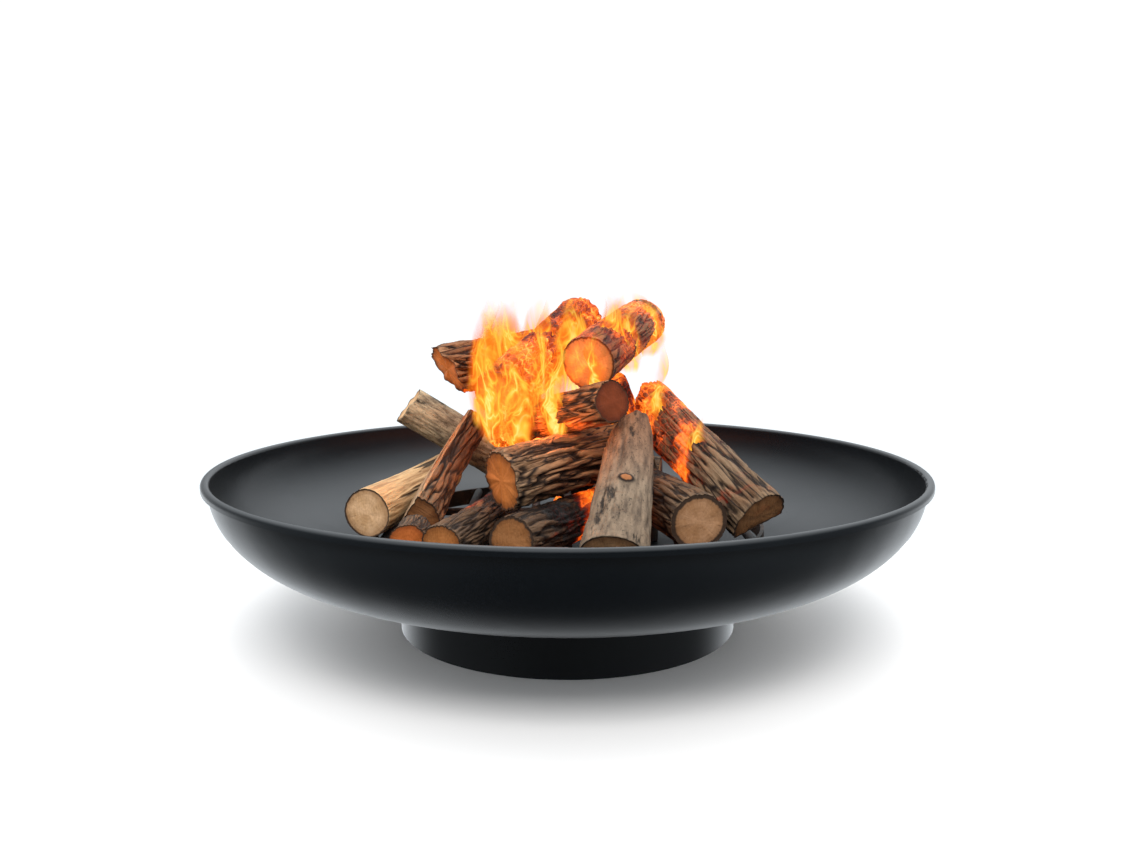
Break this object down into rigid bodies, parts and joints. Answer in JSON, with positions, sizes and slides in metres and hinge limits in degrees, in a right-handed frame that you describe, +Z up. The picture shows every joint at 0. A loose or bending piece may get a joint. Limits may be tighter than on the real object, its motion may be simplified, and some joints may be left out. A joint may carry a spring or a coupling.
{
  "type": "fire pit",
  "caption": "Round black steel fire bowl on a base ring, with a lift-out round bar grate and stacked firewood.",
  "frame": {"origin": "centre of the base ring's bottom edge, on the ground", "axes": "+Z up, along the bowl's axis; -Y towards the side the picture looks at; +X to that viewer's right"},
  "size_m": [0.8, 0.8, 0.3764],
  "materials": {
    "black_coating": "satin",
    "grate_steel": "matte",
    "zinc_steel": "zinc plated",
    "pale_wood": "debarked",
    "bark_wood": "rough bark",
    "burnt_wood": "charred and glowing",
    "embers": "glowing charcoal"
  },
  "bodies": {
    "stand": {"base_ring": "black_coating", "bolt_nuts": "zinc_steel", "bolt_washers": "zinc_steel", "bowl": "black_coating", "bowl_bolts": "black_coating", "tab_1": "black_coating", "tab_2": "black_coating", "tab_3": "black_coating", "tab_4": "black_coating"},
    "grate": {"grate_bar_1": "grate_steel", "grate_bar_10": "grate_steel", "grate_bar_11": "grate_steel", "grate_bar_2": "grate_steel", "grate_bar_3": "grate_steel", "grate_bar_4": "grate_steel", "grate_bar_5": "grate_steel", "grate_bar_6": "grate_steel", "grate_bar_7": "grate_steel", "grate_bar_8": "grate_steel", "grate_bar_9": "grate_steel", "grate_bearer_back": "grate_steel", "grate_bearer_front": "grate_steel", "grate_leg_back_left": "grate_steel", "grate_leg_back_right": "grate_steel", "grate_leg_front_left": "grate_steel", "grate_leg_front_right": "grate_steel", "grate_ring": "grate_steel"},
    "firewood": {"embers": "embers", "log_back_left": "bark_wood", "log_front_left": "pale_wood", "log_front_right": "bark_wood", "log_inner_back": "bark_wood", "log_inner_left": "burnt_wood", "log_inner_right": "burnt_wood", "log_low_left": "bark_wood", "log_low_middle": "burnt_wood", "log_middle": "bark_wood", "log_stub_left": "bark_wood", "log_top_left": "burnt_wood", "log_top_middle": "burnt_wood", "log_top_right": "burnt_wood", "log_upper_middle": "burnt_wood", "split_log_front": "bark_wood", "split_log_left": "bark_wood", "split_log_right": "burnt_wood"}
  },
  "joints": [
    {"name": "grate_lift", "type": "slide", "parent": "stand", "child": "grate", "axis": [0, 0, 1], "range_m": [0, 0.25]},
    {"name": "wood_lift", "type": "slide", "parent": "grate", "child": "firewood", "axis": [0, 0, 1], "range_m": [0, 0.3]}
  ]
}
